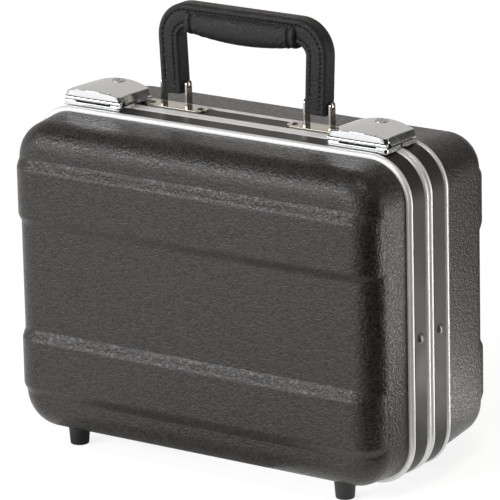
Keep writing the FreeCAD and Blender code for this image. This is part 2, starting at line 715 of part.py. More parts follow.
def keep(name, shape):
    piece = shape if not isinstance(shape, list) else Part.makeCompound(shape)
    piece = piece.copy()
    piece.translate(V(0, SHIFT_Y, 0))
    piece.exportStep("parts/" + name + ".step")
    print(name, len(piece.Solids), piece.isValid(), round(piece.Volume / 1000, 2), "cm3")


front_outer, front_shell = shell(-1, FRONT_D, LIP_D)
rear_outer, rear_shell = shell(1, REAR_D, REAR_LIP_D)
mount_spots = [(sx * MOUNT_X + e * MOUNT_RIVET_X, HANDLE_Y) for sx in (-1, 1) for e in (-1, 1)]
plate_low = FRAME_TOP - STRIP_FACE
mount_rivets = top_rivets(mount_spots, MOUNT_RIVET_SHANK, MOUNT_RIVET_R, MOUNT_RIVET_DOME, plate_low + PLATE_T)

# fasteners of each half, bored out of everything they pass
front_feet_screws = feet_screws(-1)
rear_feet_screws = feet_screws(1)
front_rivets = side_rivets(-1)
rear_rivets = side_rivets(1)
front_hinge_rivets = hinge_rivets(-1)
rear_hinge_rivets = hinge_rivets(1)
front_plate_rivets = [moved(r, sx * LATCH_X) for sx in (-1, 1) for r in base_rivets(-1)]
rear_plate_rivets = [moved(r, sx * LATCH_X) for sx in (-1, 1) for r in base_rivets(1)]
front_through = front_rivets + front_hinge_rivets + front_plate_rivets
rear_through = rear_rivets + rear_hinge_rivets + rear_plate_rivets + mount_rivets

keep("front_shell", bored(front_shell, front_through + front_feet_screws))
keep("rear_shell", bored(rear_shell, rear_through + rear_feet_screws))
keep("front_valance", bored(front_valance(), front_through))
keep("rear_valance", bored(rear_valance(), rear_through))
keep("front_strip", bored(strip(-1), front_through))
keep("rear_strip", bored(strip(1), rear_through))
keep("seal", ring(-GROOVE_OUT, -GROOVE_IN, GROOVE_D - SEAL_T, GROOVE_D))
keep("rivets_front", front_rivets)
keep("rivets_rear", rear_rivets)
keep("feet_front", feet(-1, front_outer))
keep("feet_rear", feet(1, rear_outer))
keep("feet_screws_front", front_feet_screws)
keep("feet_screws_rear", rear_feet_screws)
keep("hinge_leaf_front", bored(hinge_leaf(-1), front_hinge_rivets))
keep("hinge_leaf_rear", bored(hinge_leaf(1), rear_hinge_rivets))
keep("hinge_pin", rod(HINGE_PIN_R, V(-HINGE_L / 2, 0, HINGE_Z), V(HINGE_L / 2, 0, HINGE_Z)))
keep("hinge_rivets_front", front_hinge_rivets)
keep("hinge_rivets_rear", rear_hinge_rivets)
keep("handle_mount_left", bored(handle_mount(-1), mount_rivets))
keep("handle_mount_right", bored(handle_mount(1), mount_rivets))
keep("mount_rivets", mount_rivets)
keep("handle_pins", handle_pins())
core = handle_core()
grip = handle_grip(core)
keep("handle_core", lifted(core))
keep("handle_grip", lifted(grip))
keep("latch_plate_rivets", front_plate_rivets)
keep("keeper_rivets", rear_plate_rivets)

for name, sx in (("left", -1), ("right", 1)):
    at = sx * LATCH_X
    keep("latch_plate_" + name, bored(moved(latch_plate(), at), front_plate_rivets))
    keep("latch_pin_" + name, moved(latch_pin(), at))
    keep("latch_cover_" + name, moved(latch_cover(), at))
    keep("latch_hook_" + name, moved(latch_hook(), at))
    keep("hook_pin_" + name, moved(hook_pin(), at))
    keep("latch_keeper_" + name, bored(moved(latch_keeper(), at), rear_plate_rivets))
    keep("key_plug_" + name, moved(key_plug(), at))
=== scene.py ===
import bmesh
import bpy
import json
import math
from mathutils import Matrix, Vector


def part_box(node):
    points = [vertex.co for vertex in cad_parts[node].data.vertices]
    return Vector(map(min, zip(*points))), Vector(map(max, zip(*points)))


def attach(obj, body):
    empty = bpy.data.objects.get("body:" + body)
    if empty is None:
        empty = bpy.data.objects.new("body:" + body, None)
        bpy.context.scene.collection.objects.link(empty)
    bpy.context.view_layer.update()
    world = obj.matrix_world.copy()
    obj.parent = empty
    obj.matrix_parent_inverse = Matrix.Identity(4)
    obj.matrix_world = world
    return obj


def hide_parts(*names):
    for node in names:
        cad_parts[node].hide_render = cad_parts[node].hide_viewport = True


# sizes are in metres, turns and lifts in degrees
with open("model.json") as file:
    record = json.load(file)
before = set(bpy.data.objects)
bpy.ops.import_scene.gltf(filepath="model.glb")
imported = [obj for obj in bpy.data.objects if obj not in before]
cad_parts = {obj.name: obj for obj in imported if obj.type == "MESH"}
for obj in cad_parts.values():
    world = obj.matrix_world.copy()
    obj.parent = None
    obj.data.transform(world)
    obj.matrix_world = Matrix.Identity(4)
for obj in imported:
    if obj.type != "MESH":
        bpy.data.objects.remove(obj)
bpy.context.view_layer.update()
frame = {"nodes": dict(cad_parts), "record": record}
nodes = frame["nodes"]
scene = bpy.context.scene
scene.view_settings.view_transform = "Standard"
print("frame loaded", len(nodes), "nodes")

# camera at the place it stood in the photograph
cameraSet = {
    "eye": (1.86693, -2.72668, 1.14509),
    "right": (0.828414, 0.559719, -0.021086),
    "up": (-0.144229, 0.249539, 0.957564),
    "back": (0.541228, -0.790218, 0.287449),
    "lens": 337.1, "sensor": 36.0, "clipEnd": 50.0,
}


def placeCamera():
    data = bpy.data.cameras.new("photoCamera")
    data.lens = cameraSet["lens"]
    data.sensor_width = cameraSet["sensor"]
    data.clip_end = cameraSet["clipEnd"]
    cam = bpy.data.objects.new("photoCamera", data)
    turn = Matrix((cameraSet["right"], cameraSet["up"], cameraSet["back"])).transposed()
    cam.matrix_world = Matrix.Translation(cameraSet["eye"]) @ turn.to_4x4()
    scene.collection.objects.link(cam)
    scene.camera = cam


placeCamera()
print("camera placed")


# small helpers for node trees
def addNode(tree, kind, **values):
    node = tree.nodes.new(kind)
    for key, value in values.items():
        setattr(node, key, value)
    return node


def setIn(node, **values):
    for key, value in values.items():
        node.inputs[key.replace("_", " ")].default_value = value
    return node


def mathNode(tree, operation, a, b):
    node = addNode(tree, "ShaderNodeMath", operation=operation)
    for i, value in enumerate((a, b)):
        if isinstance(value, (int, float)):
            node.inputs[i].default_value = value
        else:
            tree.links.new(value, node.inputs[i])
    return node.outputs[0]


def mapRange(tree, value, low, high, toLow, toHigh):
    node = addNode(tree, "ShaderNodeMapRange")
    setIn(node, From_Min=low, From_Max=high, To_Min=toLow, To_Max=toHigh)
    tree.links.new(value, node.inputs["Value"])
    return node.outputs["Result"]


def smoothRange(tree, value):
    node = addNode(tree, "ShaderNodeMapRange", interpolation_type="SMOOTHSTEP")
    tree.links.new(value, node.inputs["Value"])
    return node


def newGroup(name, inputs, outputs):
    tree = bpy.data.node_groups.new(name, "ShaderNodeTree")
    for label, start in inputs.items():
        socket = tree.interface.new_socket(label, in_out="INPUT", socket_type="NodeSocketFloat")
        socket.default_value = start
    for label in outputs:
        tree.interface.new_socket(label, in_out="OUTPUT", socket_type="NodeSocketFloat")
    return tree, tree.nodes.new("NodeGroupInput"), tree.nodes.new("NodeGroupOutput")


# pressed hide: short wavy ridges with finer cells and pores in between
hideSet = {"bendScale": 220.0, "bendPush": 0.0026, "layTurn": (0.2, 0.35, 0.2),
           "layStretch": (0.68, 0.8, 1.0), "ridgeRough": 0.4, "ridgeTwist": 0.5, "crestFrom": 0.34,
           "crestTo": 0.64, "creaseTo": 0.3, "poreScale": 2200.0, "poreRough": 0.6}


def makeHideGrain():
    h = hideSet
    starts = {"Ridge Scale": 400.0, "Cell Scale": 900.0, "Cell Share": 0.3, "Fine": 0.2}
    tree, given, out = newGroup("hideGrain", starts, ("Height", "Crease Mask"))
    where = addNode(tree, "ShaderNodeTexCoord").outputs["Object"]
    bend = addNode(tree, "ShaderNodeTexNoise")
    setIn(bend, Scale=h["bendScale"], Detail=2.0)
    tree.links.new(where, bend.inputs["Vector"])
    push = addNode(tree, "ShaderNodeVectorMath", operation="MULTIPLY_ADD")
    tree.links.new(bend.outputs["Color"], push.inputs[0])
    push.inputs[1].default_value = [h["bendPush"]] * 3
    tree.links.new(where, push.inputs[2])
    lay = addNode(tree, "ShaderNodeMapping")
    setIn(lay, Rotation=h["layTurn"], Scale=h["layStretch"])
    tree.links.new(push.outputs[0], lay.inputs["Vector"])
    ridge = addNode(tree, "ShaderNodeTexNoise")
    setIn(ridge, Detail=1.0, Roughness=h["ridgeRough"], Distortion=h["ridgeTwist"])
    tree.links.new(lay.outputs["Vector"], ridge.inputs["Vector"])
    tree.links.new(given.outputs["Ridge Scale"], ridge.inputs["Scale"])
    crest = smoothRange(tree, ridge.outputs["Fac"])
    setIn(crest, From_Min=h["crestFrom"], From_Max=h["crestTo"])
    cells = addNode(tree, "ShaderNodeTexVoronoi", feature="DISTANCE_TO_EDGE")
    tree.links.new(lay.outputs["Vector"], cells.inputs["Vector"])
    tree.links.new(given.outputs["Cell Scale"], cells.inputs["Scale"])
    crease = smoothRange(tree, cells.outputs["Distance"])
    setIn(crease, From_Max=h["creaseTo"])
    pore = addNode(tree, "ShaderNodeTexNoise")
    setIn(pore, Scale=h["poreScale"], Detail=3.0, Roughness=h["poreRough"])
    tree.links.new(where, pore.inputs["Vector"])
    small = mathNode(tree, "MULTIPLY", crease.outputs["Result"], given.outputs["Cell Share"])
    pores = mathNode(tree, "MULTIPLY", pore.outputs["Fac"], given.outputs["Fine"])
    total = mathNode(tree, "ADD", mathNode(tree, "ADD", crest.outputs["Result"], small), pores)
    tree.links.new(total, out.inputs["Height"])
    tree.links.new(crest.outputs["Result"], out.inputs["Crease Mask"])
    return tree


# slow tone changes of handled surfaces, with finer specks on top
def makeHandledTone():
    starts = {"Patch Scale": 18.0, "Speck Scale": 420.0, "Speck": 0.2}
    tree, given, out = newGroup("handledTone", starts, ("Tone",))
    where = addNode(tree, "ShaderNodeTexCoord").outputs["Object"]
    patch = setIn(addNode(tree, "ShaderNodeTexNoise"), Detail=3.0)
    speck = setIn(addNode(tree, "ShaderNodeTexNoise"), Detail=2.0)
    for noise, label in ((patch, "Patch Scale"), (speck, "Speck Scale")):
        tree.links.new(where, noise.inputs["Vector"])
        tree.links.new(given.outputs[label], noise.inputs["Scale"])
    centred = mathNode(tree, "SUBTRACT", speck.outputs["Fac"], 0.5)
    small = mathNode(tree, "MULTIPLY", centred, given.outputs["Speck"])
    tree.links.new(mathNode(tree, "ADD", patch.outputs["Fac"], small), out.inputs["Tone"])
    return tree


# smooth step of a value between the group's own inputs Start and End
def stepBetween(tree, given, value, target):
    ramp = smoothRange(tree, value)
    tree.links.new(given.outputs["Start"], ramp.inputs["From Min"])
    tree.links.new(given.outputs["End"], ramp.inputs["From Max"])
    tree.links.new(ramp.outputs["Result"], target)


# convex edges rubbed lighter
def makeEdgeRub():
    tree, given, out = newGroup("edgeRub", {"Start": 0.52, "End": 0.6}, ("Rub",))
    geometry = addNode(tree, "ShaderNodeNewGeometry")
    stepBetween(tree, given, geometry.outputs["Pointiness"], out.inputs["Rub"])
    return tree


# ambient occlusion of narrow corners between pieces: dust that dulls the shell there, and painted shade that
# darkens the chrome there
def makeCornerDustAndShade():
    tree, given, out = newGroup("cornerDustAndShade", {"Reach": 0.004, "Start": 0.3, "End": 0.75}, ("Dust And Shade",))
    shade = addNode(tree, "ShaderNodeAmbientOcclusion", samples=8)
    tree.links.new(given.outputs["Reach"], shade.inputs["Distance"])
    stepBetween(tree, given, mathNode(tree, "SUBTRACT", 1.0, shade.outputs["AO"]), out.inputs["Dust And Shade"])
    return tree


hideGrain = makeHideGrain()
cornerDustAndShade = makeCornerDustAndShade()
handledTone = makeHandledTone()
edgeRub = makeEdgeRub()
toneSpan = (0.3, 0.7)  # part of the tone that runs from the lowest to the highest roughness


def placeGroup(tree, group, **values):
    return setIn(addNode(tree, "ShaderNodeGroup", node_tree=group), **values)


def placeGrain(tree, look):
    return placeGroup(tree, hideGrain, Ridge_Scale=look["ridge"], Cell_Scale=look["cell"],
                      Cell_Share=look["cellShare"], Fine=look["fine"])


# a look's tone gives the scale of its patches, then the scale and the share of its specks
def placeTone(tree, look):
    patch, speckScale, speck = look["tone"]
    group = placeGroup(tree, handledTone, Patch_Scale=patch, Speck_Scale=speckScale, Speck=speck)
    return group.outputs["Tone"]


# a look's dustAndShade or rub gives where the group's step starts and ends
def placeDustAndShade(tree, look):
    start, end = look["dustAndShade"]
    return placeGroup(tree, cornerDustAndShade, Reach=look["reach"], Start=start, End=end).outputs["Dust And Shade"]


def placeRub(tree, look):
    start, end = look["rub"]
    return placeGroup(tree, edgeRub, Start=start, End=end).outputs["Rub"]


def newMaterial(name):
    material = bpy.data.materials.new(name)
    material.use_nodes = True
    tree = material.node_tree
    return material, tree, tree.nodes["Principled BSDF"]


def colourMix(tree, factor, first, second, socket):
    mix = addNode(tree, "ShaderNodeMix", data_type="RGBA")
    mix.inputs["A"].default_value = (*first, 1.0)
    mix.inputs["B"].default_value = (*second, 1.0)
    tree.links.new(factor, mix.inputs["Factor"])
    tree.links.new(mix.outputs["Result"], socket)
    return mix


def toneRough(tree, shader, tone, look):
    rough = mapRange(tree, tone, *toneSpan, look["roughLow"], look["roughHigh"])
    tree.links.new(rough, shader.inputs["Roughness"])


def addBump(tree, shader, height, distance):
    bump = setIn(addNode(tree, "ShaderNodeBump"), Distance=distance)
    tree.links.new(height, bump.inputs["Height"])
    tree.links.new(bump.outputs["Normal"], shader.inputs["Normal"])


# one dictionary of looks for each finish
shellLook = {"dark": (0.0058, 0.0046, 0.0038), "light": (0.0365, 0.0303, 0.0255), "tone": (14.0, 380.0, 0.5),
             "ridge": 600.0, "cell": 1600.0, "cellShare": 0.2, "fine": 0.12, "depth": 0.00018,
             "roughLow": 0.28, "roughHigh": 0.38, "ridgeShadeShare": 0.85,
             "reach": 0.005, "dustAndShade": (0.1, 0.5), "dustDull": 0.5}


def makeShell():
    look = shellLook
    material, tree, shader = newMaterial("grainedShell")
    grain = placeGrain(tree, look)
    # painted shade and highlight: the grain's creases are coloured darker and its crests lighter, standing in
    # for the relief's shading; the slow tone is real random tone
    ridge = mathNode(tree, "MULTIPLY", grain.outputs["Crease Mask"], look["ridgeShadeShare"])
    slow = mathNode(tree, "MULTIPLY", placeTone(tree, look), 1.0 - look["ridgeShadeShare"])
    pale = mathNode(tree, "ADD", ridge, slow)
    colourMix(tree, pale, look["dark"], look["light"], shader.inputs["Base Color"])
    rough = mapRange(tree, grain.outputs["Crease Mask"], 0.0, 1.0, look["roughHigh"], look["roughLow"])
    dull = mathNode(tree, "MULTIPLY", placeDustAndShade(tree, look), look["dustDull"])
    tree.links.new(mathNode(tree, "ADD", rough, dull), shader.inputs["Roughness"])
    addBump(tree, shader, grain.outputs["Height"], look["depth"])
    return material


stripLook = {"dark": (0.024, 0.0235, 0.0225), "light": (0.033, 0.032, 0.031), "tone": (30.0, 900.0, 0.3),
             "roughLow": 0.4, "roughHigh": 0.5, "shine": 0.28, "depth": 0.00004}


def makeStrip():
    look = stripLook
    material, tree, shader = newMaterial("smoothStrip")
    shader.inputs["Specular IOR Level"].default_value = look["shine"]
    tone = placeTone(tree, look)
    colourMix(tree, tone, look["dark"], look["light"], shader.inputs["Base Color"])
    toneRough(tree, shader, tone, look)
    addBump(tree, shader, tone, look["depth"])
    return material


# metals; the chrome has painted shade that darkens its narrow gaps
gapShadeLook = {"colour": (0.03, 0.03, 0.032), "share": 0.9, "reach": 0.0022, "dustAndShade": (0.3, 0.8)}
metalLook = {
    "brightFrame": {"dark": (0.92, 0.92, 0.915), "light": (0.97, 0.97, 0.965), "tone": (40.0, 900.0, 0.4),
                    "roughLow": 0.42, "roughHigh": 0.50, "depth": 0.00001, "metallic": 0.45, "gapShade": None},
    "chromePlate": {"dark": (0.66, 0.665, 0.67), "light": (0.74, 0.745, 0.75), "tone": (40.0, 500.0, 0.4),
                    "roughLow": 0.11, "roughHigh": 0.17, "depth": 0.00001, "metallic": 1.0,
                    "gapShade": gapShadeLook},
    "warmNickel": {"dark": (0.48, 0.45, 0.395), "light": (0.60, 0.565, 0.505), "tone": (40.0, 600.0, 0.4),
                   "roughLow": 0.12, "roughHigh": 0.2, "depth": 0.00002, "metallic": 1.0, "gapShade": None},
    "zincSteel": {"dark": (0.42, 0.42, 0.43), "light": (0.55, 0.55, 0.56), "tone": (40.0, 700.0, 0.4),
                  "roughLow": 0.30, "roughHigh": 0.42, "depth": 0.00003, "metallic": 1.0, "gapShade": None},
    "darkRivet": {"dark": (0.15, 0.145, 0.14), "light": (0.25, 0.24, 0.23), "tone": (40.0, 700.0, 0.4),
                  "roughLow": 0.24, "roughHigh": 0.34, "depth": 0.00003, "metallic": 0.55, "gapShade": None},
}


def makeMetal(name, look):
    material, tree, shader = newMaterial(name)
    shader.inputs["Metallic"].default_value = look["metallic"]
    tone = placeTone(tree, look)
    paint = shader.inputs["Base Color"]
    gapShade = look["gapShade"]
    # painted shade: where ambient occlusion finds a narrow gap, the chrome's colour runs to near black
    if gapShade:
        share = mathNode(tree, "MULTIPLY", placeDustAndShade(tree, gapShade), gapShade["share"])
        paint = colourMix(tree, share, look["light"], gapShade["colour"], paint).inputs["A"]
    colourMix(tree, tone, look["dark"], look["light"], paint)
    toneRough(tree, shader, tone, look)
    addBump(tree, shader, tone, look["depth"])
    return material


rubberLook = {"dark": (0.008, 0.008, 0.008), "light": (0.016, 0.016, 0.015), "tone": (60.0, 1400.0, 0.6),
              "rub": (0.52, 0.6), "rubShare": 0.5, "roughLow": 0.45, "roughHigh": 0.62, "depth": 0.00012}


# lighter where the tone is pale and where edges are rubbed
def rubbedColour(tree, shader, tone, look):
    rub = mathNode(tree, "MULTIPLY", placeRub(tree, look), look["rubShare"])
    pale = mathNode(tree, "ADD", tone, rub)
    colourMix(tree, pale, look["dark"], look["light"], shader.inputs["Base Color"])


def makeRubber():
    look = rubberLook
    material, tree, shader = newMaterial("footRubber")
    tone = placeTone(tree, look)
    rubbedColour(tree, shader, tone, look)
    toneRough(tree, shader, tone, look)
    addBump(tree, shader, tone, look["depth"])
    return material


leatherLook = {"dark": (0.0040, 0.0040, 0.0042), "light": (0.013, 0.013, 0.0132), "tone": (45.0, 700.0, 0.5),
               "ridge": 900.0, "cell": 1800.0, "cellShare": 0.5, "fine": 0.3, "depth": 0.00016, "shine": 0.38,
               "rub": (0.5, 0.56), "rubShare": 0.6, "roughLow": 0.34, "roughHigh": 0.5}


def makeLeather():
    look = leatherLook
    material, tree, shader = newMaterial("gripLeather")
    shader.inputs["Specular IOR Level"].default_value = look["shine"]
    grain = placeGrain(tree, look)
    rubbedColour(tree, shader, placeTone(tree, look), look)
    rough = mapRange(tree, grain.outputs["Crease Mask"], 0.0, 1.0, look["roughHigh"], look["roughLow"])
    tree.links.new(rough, shader.inputs["Roughness"])
    addBump(tree, shader, grain.outputs["Height"], look["depth"])
    return material


threadLook = {"dark": (0.002, 0.002, 0.002), "light": (0.006, 0.006, 0.006), "tone": (200.0, 3000.0, 0.8),
              "rough": 0.7, "shine": 0.25, "depth": 0.0001}


def makeThread():
    look = threadLook
    material, tree, shader = newMaterial("seamThread")
    shader.inputs["Roughness"].default_value = look["rough"]
    shader.inputs["Specular IOR Level"].default_value = look["shine"]
    tone = placeTone(tree, look)
    colourMix(tree, tone, look["dark"], look["light"], shader.inputs["Base Color"])
    addBump(tree, shader, tone, look["depth"])
    return material


finishes = {"grainedShell": makeShell(), "smoothStrip": makeStrip(), "footRubber": makeRubber(),
            "gripLeather": makeLeather(), "seamThread": makeThread()}
for label, look in metalLook.items():
    finishes[label] = makeMetal(label, look)
print("finishes made", len(finishes))

slotFinish = {"shell": "grainedShell", "frame": "brightFrame", "strip": "smoothStrip", "seal": "footRubber",
              "rivet": "darkRivet", "foot": "footRubber", "steel": "zincSteel", "chrome": "chromePlate",
              "nickel": "warmNickel", "grip": "gripLeather"}
for part in frame["record"]["subparts"]:
    mesh = nodes[part["node"]].data
    mesh.materials.clear()
    mesh.materials.append(finishes[slotFinish[part["material_slot"]]])
print("finishes laid on the frame")


# helpers for lofted pieces; every ring of a loft has the same count of points
def smooth(t):
    t = max(0.0, min(1.0, t))
    return t * t * (3 - 2 * t)


def circle(radius, sides):
    turns = [2 * math.pi * j / sides for j in range(sides)]
    return [(radius * math.cos(a), radius * math.sin(a)) for a in turns]


def loftRings(rings, verts, faces, capped=True):
    base = len(verts)
    count = len(rings[0])
    for ring in rings:
        verts.extend(ring)
    for i in range(len(rings) - 1):
        a, b = base + i * count, base + (i + 1) * count
        for j in range(count):
            k = (j + 1) % count
            faces.append((a + j, a + k, b + k, b + j))
    if capped:
        last = base + (len(rings) - 1) * count
        faces.append(tuple(base + j for j in range(count - 1, -1, -1)))
        faces.append(tuple(last + j for j in range(count)))


weldReach = 1e-7


# end caps with more than four corners stay flat, and crisp is the angle from which edges stay sharp
def placePiece(name, verts, faces, finish, body, crisp=None):
    mesh = bpy.data.meshes.new(name)
    mesh.from_pydata(verts, [], faces)
    work = bmesh.new()
    work.from_mesh(mesh)
    bmesh.ops.remove_doubles(work, verts=work.verts, dist=weldReach)
    bmesh.ops.recalc_face_normals(work, faces=work.faces)
    work.to_mesh(mesh)
    work.free()
    for poly in mesh.polygons:
        poly.use_smooth = len(poly.vertices) <= 4
    if crisp:
        mesh.set_sharp_from_angle(angle=math.radians(crisp))
    mesh.materials.append(finishes[finish])
    obj = bpy.data.objects.new(name, mesh)
    scene.collection.objects.link(obj)
    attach(obj, body)
    return obj


# grip: a stitched strap arch with a padded wrap below its top edge
gripSet = {
    "wide": 0.0180, "thick": 0.0145, "splay": 0.0030, "bend": 0.0170, "barWide": 0.0190, "step": 0.0005,
    "edgeRound": 0.0027, "edgeSteps": 7,
    "rowIn": 0.0047, "rowDeep": 0.0008, "rowHalf": 0.0014, "rowRest": 0.65,
    "rowShares": (1.0, 0.7, 0.35, 0.0, -0.35, -0.7, -1.0),
}
padSet = {
    "end": 0.0495, "top": 0.0040, "drop": 0.0270, "endDrop": 0.0222, "depth": 0.0114, "endDepth": 0.0096,
    "dropPower": 0.9, "depthPower": 0.6, "squareDepth": 0.8, "squareHeight": 0.88,
    "step": 0.00035, "around": 72,
    "foldX": 0.0425, "foldDeep": 0.0013, "foldHalf": 0.0010,
    "rollUp": 0.0005, "rollPast": 0.0034, "rollHalf": 0.0022,
    "creases": 11, "creaseUp": 0.00035, "creaseReach": 0.009, "creaseFade": 0.004, "creaseTwist": 40.0,
    "creaseStart": 1.7, "capLong": 0.003, "capShare": 0.45, "capLift": 0.5,
}
gripLow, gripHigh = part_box("handle_grip")
mountLow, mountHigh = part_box("handle_mount_right")
gripY = (gripLow.y + gripHigh.y) / 2
gripTop = gripHigh.z


# middle line of the strap as (point, outward) pairs in the XZ plane, from the left foot to the right one
def gripLine():
    g = gripSet
    xAxis, upward = Vector((1.0, 0.0)), Vector((0.0, 1.0))
    barZ = gripTop - g["barWide"] / 2
    foot = Vector(((mountLow.x + mountHigh.x) / 2, gripLow.z))
    corner = Vector((foot.x + g["splay"] * (barZ - foot.y) / (gripTop - foot.y), barZ))
    down = (foot - corner).normalized()
    inward = -xAxis
    half = down.angle(inward) / 2
    reach = g["bend"] / math.tan(half)
    centre = corner + (down + inward).normalized() * (g["bend"] / math.sin(half))
    start, end = corner + inward * reach, corner + down * reach
    count = round(start.x / g["step"])
    right = [(Vector((start.x * i / count, barZ)), upward) for i in range(1, count)]
    first = (start - centre).angle(xAxis)
    last = math.copysign((end - centre).angle(xAxis), end.y - centre.y)
    count = round((first - last) * g["bend"] / g["step"])
    for i in range(count):
        a = first + (last - first) * i / count
        out = Vector((math.cos(a), math.sin(a)))
        right.append((centre + out * g["bend"], out))
    count = round((end - foot).length / g["step"])
    side = Vector((-down.y, down.x))
    right += [(end.lerp(foot, i / count), side) for i in range(count + 1)]
    left = [(Vector((-p.x, p.y)), Vector((-n.x, n.y))) for p, n in reversed(right)]
    return left + [(Vector((0.0, barZ)), upward)] + right


# half the strap's width where its outward direction is n: a little wider along the bar
def strapHalf(n):
    return (gripSet["wide"] + (gripSet["barWide"] - gripSet["wide"]) * smooth(n.y)) / 2


# front half of the strap's section as (offset, depth), outer edge first; rows sink by the given share
def strapSection(half, sink):
    g = gripSet
    flat = g["thick"] / 2
    r = g["edgeRound"]
    turn = [math.pi / 2 * i / g["edgeSteps"] for i in range(g["edgeSteps"] + 1)]
    pts = [(half - r + r * math.cos(a), flat - r + r * math.sin(a)) for a in turn]
    row = half - g["rowIn"]
    for off in g["rowShares"]:
        groove = g["rowDeep"] * sink * (0.5 + 0.5 * math.cos(math.pi * off))
        pts.append((row + off * g["rowHalf"], flat - groove))
    return pts + [(0.0, flat)] + [(-n, y) for n, y in reversed(pts)]


def strapRings():
    g = gripSet
    rings = []
    for i, (p, n) in enumerate(gripLine()):
        pull = math.cos(2 * math.pi * i * g["step"] / stitchSet["pitch"])
        front = strapSection(strapHalf(n), g["rowRest"] + (1 - g["rowRest"]) * pull)
        loop = [(o, -y) for o, y in front] + [(o, y) for o, y in reversed(front)]
        rings.append([(p.x + n.x * o, gripY + y, p.y + n.y * o) for o, y in loop])
    return rings


# wrap: fuller in the middle, with a fold, a roll and small creases near each end
def padRings():
    p = padSet
    rings = []
    count = round(2 * p["end"] / p["step"])
    top = gripTop - p["top"]
    for i in range(count + 1):
        x = p["end"] * (2 * i / count - 1)
        out = abs(x)
        full = max(0.0, math.cos(min(1.0, out / p["end"]) * math.pi / 2))
        low = gripTop - p["endDrop"] - (p["drop"] - p["endDrop"]) * full ** p["dropPower"]
        depth = p["endDepth"] + (p["depth"] - p["endDepth"]) * full ** p["depthPower"]
        cap = max(0.0, (out - p["end"] + p["capLong"]) / p["capLong"])
        close = math.sqrt(max(0.0, 1 - cap ** 2))
        shrink = p["capShare"] + (1 - p["capShare"]) * close
        fold = math.exp(-((out - p["foldX"]) / p["foldHalf"]) ** 2)
        roll = math.exp(-((out - p["foldX"] - p["rollPast"]) / p["rollHalf"]) ** 2)
        change = p["rollUp"] * roll - p["foldDeep"] * fold
        inside = p["foldX"] - out
        near = math.exp(-max(0.0, inside) / p["creaseReach"]) * smooth(inside / p["creaseFade"])
        middle, high = (top + low) / 2, (top - low) / 2
        ring = []
        for j in range(p["around"]):
            a = 2 * math.pi * j / p["around"]
            c, s = math.cos(a), math.sin(a)
            turn = p["creases"] * a + p["creaseTwist"] * x / p["end"] + p["creaseStart"]
            swell = change + p["creaseUp"] * near * math.sin(turn)
            u = math.copysign(abs(c) ** p["squareDepth"], c) * (depth + swell) * shrink
            v = math.copysign(abs(s) ** p["squareHeight"], s) * (high + swell) * shrink
            ring.append((x, gripY + u, middle + v + (1 - shrink) * high * p["capLift"]))
        rings.append(ring)
    return rings


def buildGrip():
    verts, faces = [], []
    loftRings(strapRings(), verts, faces)
    loftRings(padRings(), verts, faces)
    grip = placePiece("paddedGrip", verts, faces, "gripLeather", "handle")
    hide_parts("handle_grip")


# rows of stitches along the strap, on its front and back
stitchSet = {"pitch": 0.0034, "long": 0.0027, "thick": 0.0013, "footClear": 0.012, "padClear": 0.001,
             "sink": 0.8, "arch": 0.28, "endShare": 0.25, "rings": 5, "sides": 8}


def addStitch(verts, faces, middle, along, across, out):
    s = stitchSet
    rings = []
    for i in range(s["rings"]):
        t = i / (s["rings"] - 1) * 2 - 1
        size = s["thick"] / 2 * max(s["endShare"], math.sqrt(max(0.0, 1 - t ** 4)))
        place = middle + along * (t * s["long"] / 2) + out * (s["thick"] * s["arch"] * (1 - t * t))
        rings.append([tuple(place + across * u + out * v) for u, v in circle(size, s["sides"])])
    loftRings(rings, verts, faces)


def buildStitches():
    g, s = gripSet, stitchSet
    line = gripLine()
    verts, faces = [], []
    level = g["thick"] / 2 - g["rowDeep"] * s["sink"]
    for way in (1, -1):
        travelled, due = 0.0, 0.0
        last = None
        for p, n in line:
            spot = p + n * (way * (strapHalf(n) - g["rowIn"]))
            if last is not None:
                travelled += (spot - last).length
                hidden = way < 0 and abs(p.x) < padSet["end"] - s["padClear"]
                if travelled >= due and spot.y > gripLow.z + s["footClear"] and not hidden:
                    run = (spot - last).normalized()
                    along, across = Vector((run.x, 0.0, run.y)), Vector((-run.y, 0.0, run.x))
                    for side in (-1, 1):
                        middle = Vector((spot.x, gripY + side * level, spot.y))
                        addStitch(verts, faces, middle, along, across, Vector((0.0, side, 0.0)))
                    due = travelled + s["pitch"]
            last = spot
    placePiece("gripStitches", verts, faces, "seamThread", "handle")


buildGrip()
buildStitches()
print("grip built and stitched")

